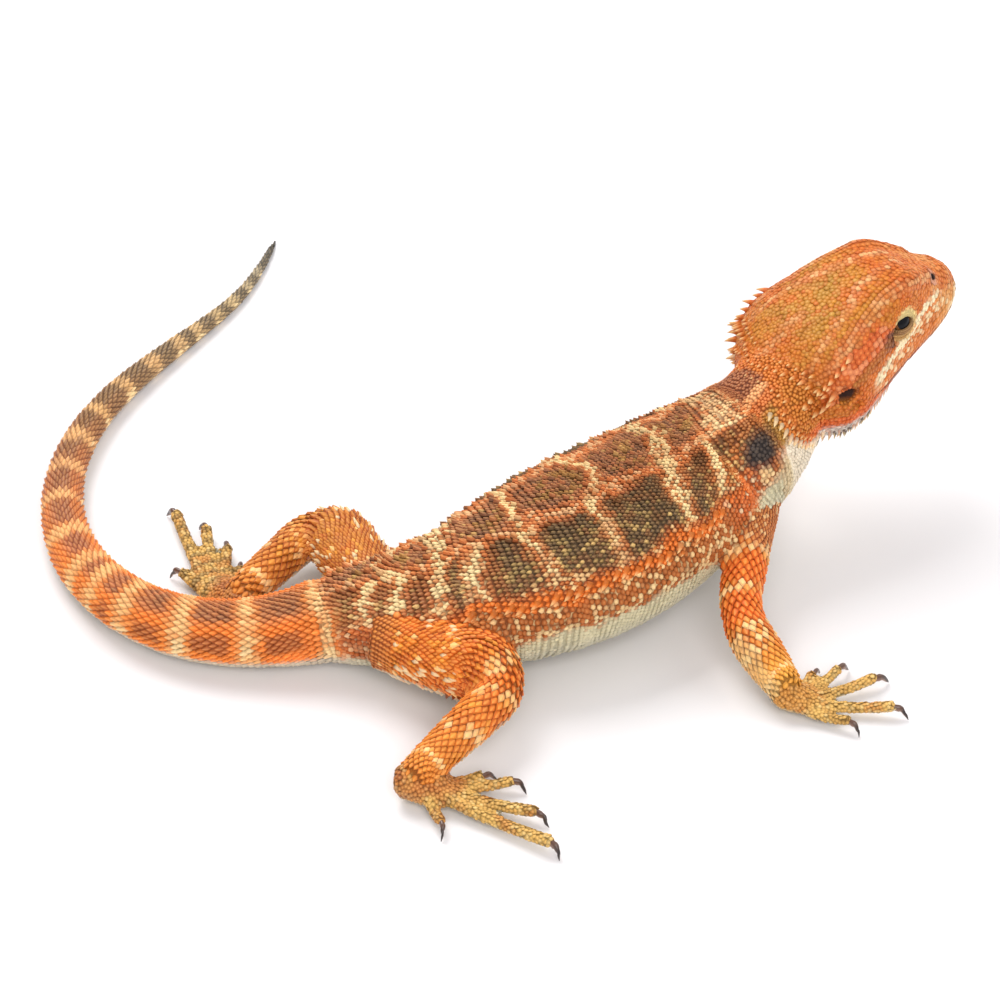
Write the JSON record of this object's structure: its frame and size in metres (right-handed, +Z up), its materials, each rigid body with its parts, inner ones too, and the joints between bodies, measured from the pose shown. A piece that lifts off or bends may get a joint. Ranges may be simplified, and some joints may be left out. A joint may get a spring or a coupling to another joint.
{
  "type": "bearded dragon",
  "caption": "Life-size still model of a subadult bearded dragon lying on its belly, head raised and turned, legs spread and tail curled round in a hook.",
  "frame": {"origin": "middle of the model's bounding box in plan, at floor level", "axes": "+X the way the trunk and head point, +Y the animal's left, +Z up from the floor"},
  "size_m": [0.2262, 0.2492, 0.0656],
  "materials": {
    "head_skin": "scaly hide, orange with ochre crown, dry satin",
    "body_skin": "scaly hide, red-brown blotches in a cream net, pale belly, dry satin",
    "tail_skin": "scaly hide in pale and brown bands, dry satin",
    "limb_skin": "large keeled scales, orange with cream bars, dry satin",
    "foot_skin": "small rounded scales, olive-yellow, dry satin",
    "eye": "brown iris and black pupil under a clear wet cornea",
    "claw": "dark horn, smooth and slightly translucent at the sides"
  },
  "bodies": {
    "root": {"head": "head_skin", "lower_jaw": "head_skin", "pelvis": "body_skin", "trunk": "body_skin", "neck": "body_skin", "tail_1": "tail_skin", "tail_2": "tail_skin", "tail_3": "tail_skin", "tail_4": "tail_skin", "tail_5": "tail_skin", "upper_arm_right": "limb_skin", "upper_arm_left": "limb_skin", "forearm_right": "limb_skin", "forearm_left": "limb_skin", "thigh_right": "limb_skin", "thigh_left": "limb_skin", "shin_right": "limb_skin", "shin_left": "limb_skin", "hand_right": "foot_skin", "hand_left": "foot_skin", "foot_right": "foot_skin", "foot_left": "foot_skin", "eye_left": "eye", "eye_right": "eye", "claw_hand_right_1": "claw", "claw_hand_right_2": "claw", "claw_hand_right_3": "claw", "claw_hand_right_4": "claw", "claw_hand_right_5": "claw", "claw_hand_left_1": "claw", "claw_hand_left_2": "claw", "claw_hand_left_3": "claw", "claw_hand_left_4": "claw", "claw_hand_left_5": "claw", "claw_foot_right_1": "claw", "claw_foot_right_2": "claw", "claw_foot_right_3": "claw", "claw_foot_right_4": "claw", "claw_foot_right_5": "claw", "claw_foot_left_1": "claw", "claw_foot_left_2": "claw", "claw_foot_left_3": "claw", "claw_foot_left_4": "claw", "claw_foot_left_5": "claw"}
  },
  "joints": []
}
